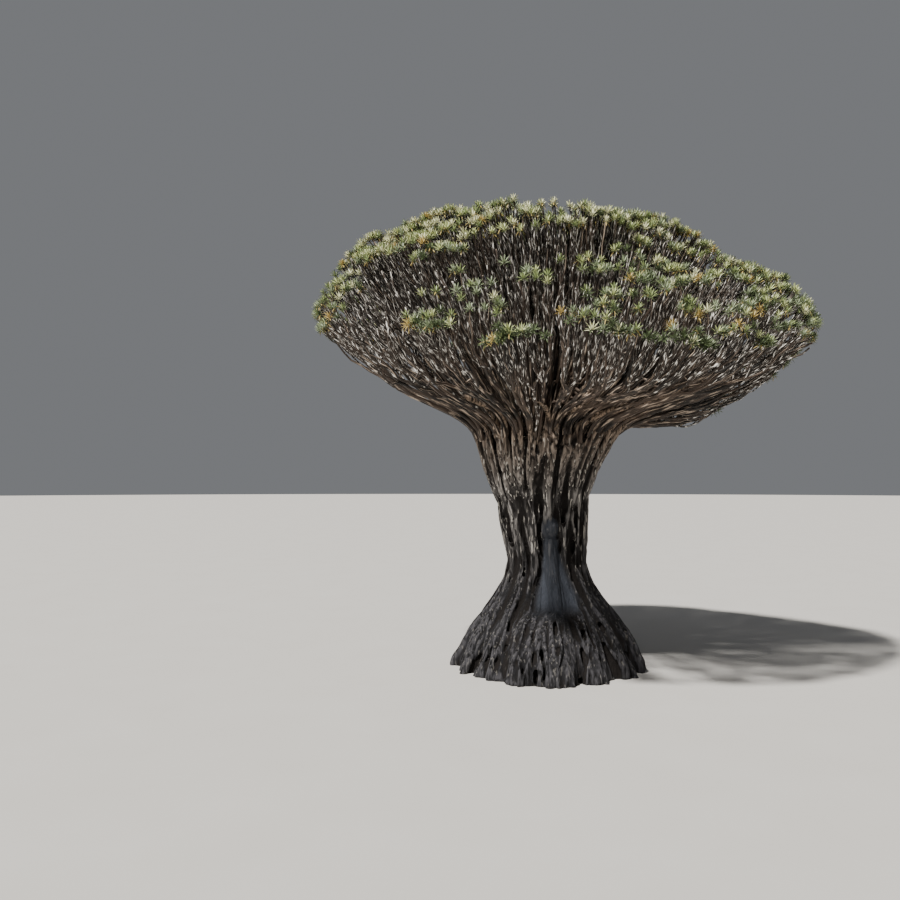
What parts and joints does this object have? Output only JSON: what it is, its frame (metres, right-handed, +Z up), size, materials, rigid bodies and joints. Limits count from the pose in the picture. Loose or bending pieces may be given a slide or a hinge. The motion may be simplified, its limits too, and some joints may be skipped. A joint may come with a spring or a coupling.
{
  "type": "dragon blood tree",
  "caption": "Umbrella-crowned dragon blood tree: flared fluted trunk, boughs fanning from its head, and a dome of forking twigs that end in rosettes of sword leaves.",
  "frame": {"origin": "middle of the flat cut under the trunk, at ground level", "axes": "+Z up the trunk; -Y is the front, the side that the picture shows, where the crown's lower tier is; +X is to the right in the picture"},
  "size_m": [18.2482, 18.3284, 16.3907],
  "materials": {
    "trunk_bark": "dark grey-brown bark in fused upright cords with deep clefts, matt",
    "bough_bark": "warm grey-brown bark with rings of old leaf scars, matt",
    "foliage": "grey-green sword leaves with a soft sheen on pale grey twigs"
  },
  "bodies": {
    "root": {"rim_bough_01": "bough_bark", "rim_bough_02": "bough_bark", "rim_bough_03": "bough_bark", "rim_bough_04": "bough_bark", "rim_bough_05": "bough_bark", "rim_bough_06": "bough_bark", "rim_bough_07": "bough_bark", "rim_bough_08": "bough_bark", "rim_bough_09": "bough_bark", "rim_bough_10": "bough_bark", "rim_bough_11": "bough_bark", "rim_bough_12": "bough_bark", "rim_mass_01": "foliage", "rim_mass_02": "foliage", "rim_mass_03": "foliage", "rim_mass_04": "foliage", "rim_mass_05": "foliage", "rim_mass_06": "foliage", "rim_mass_07": "foliage", "rim_mass_08": "foliage", "rim_mass_09": "foliage", "rim_mass_10": "foliage", "rim_mass_11": "foliage", "rim_mass_12": "foliage", "shoulder_bough_01": "bough_bark", "shoulder_bough_02": "bough_bark", "shoulder_bough_03": "bough_bark", "shoulder_bough_04": "bough_bark", "shoulder_bough_05": "bough_bark", "shoulder_bough_06": "bough_bark", "shoulder_bough_07": "bough_bark", "shoulder_bough_08": "bough_bark", "shoulder_bough_09": "bough_bark", "shoulder_bough_10": "bough_bark", "shoulder_mass_01": "foliage", "shoulder_mass_02": "foliage", "shoulder_mass_03": "foliage", "shoulder_mass_04": "foliage", "shoulder_mass_05": "foliage", "shoulder_mass_06": "foliage", "shoulder_mass_07": "foliage", "shoulder_mass_08": "foliage", "shoulder_mass_09": "foliage", "shoulder_mass_10": "foliage", "top_bough": "bough_bark", "top_mass": "foliage", "trunk": "trunk_bark", "upper_bough_01": "bough_bark", "upper_bough_02": "bough_bark", "upper_bough_03": "bough_bark", "upper_bough_04": "bough_bark", "upper_bough_05": "bough_bark", "upper_bough_06": "bough_bark", "upper_mass_01": "foliage", "upper_mass_02": "foliage", "upper_mass_03": "foliage", "upper_mass_04": "foliage", "upper_mass_05": "foliage", "upper_mass_06": "foliage"}
  },
  "joints": []
}
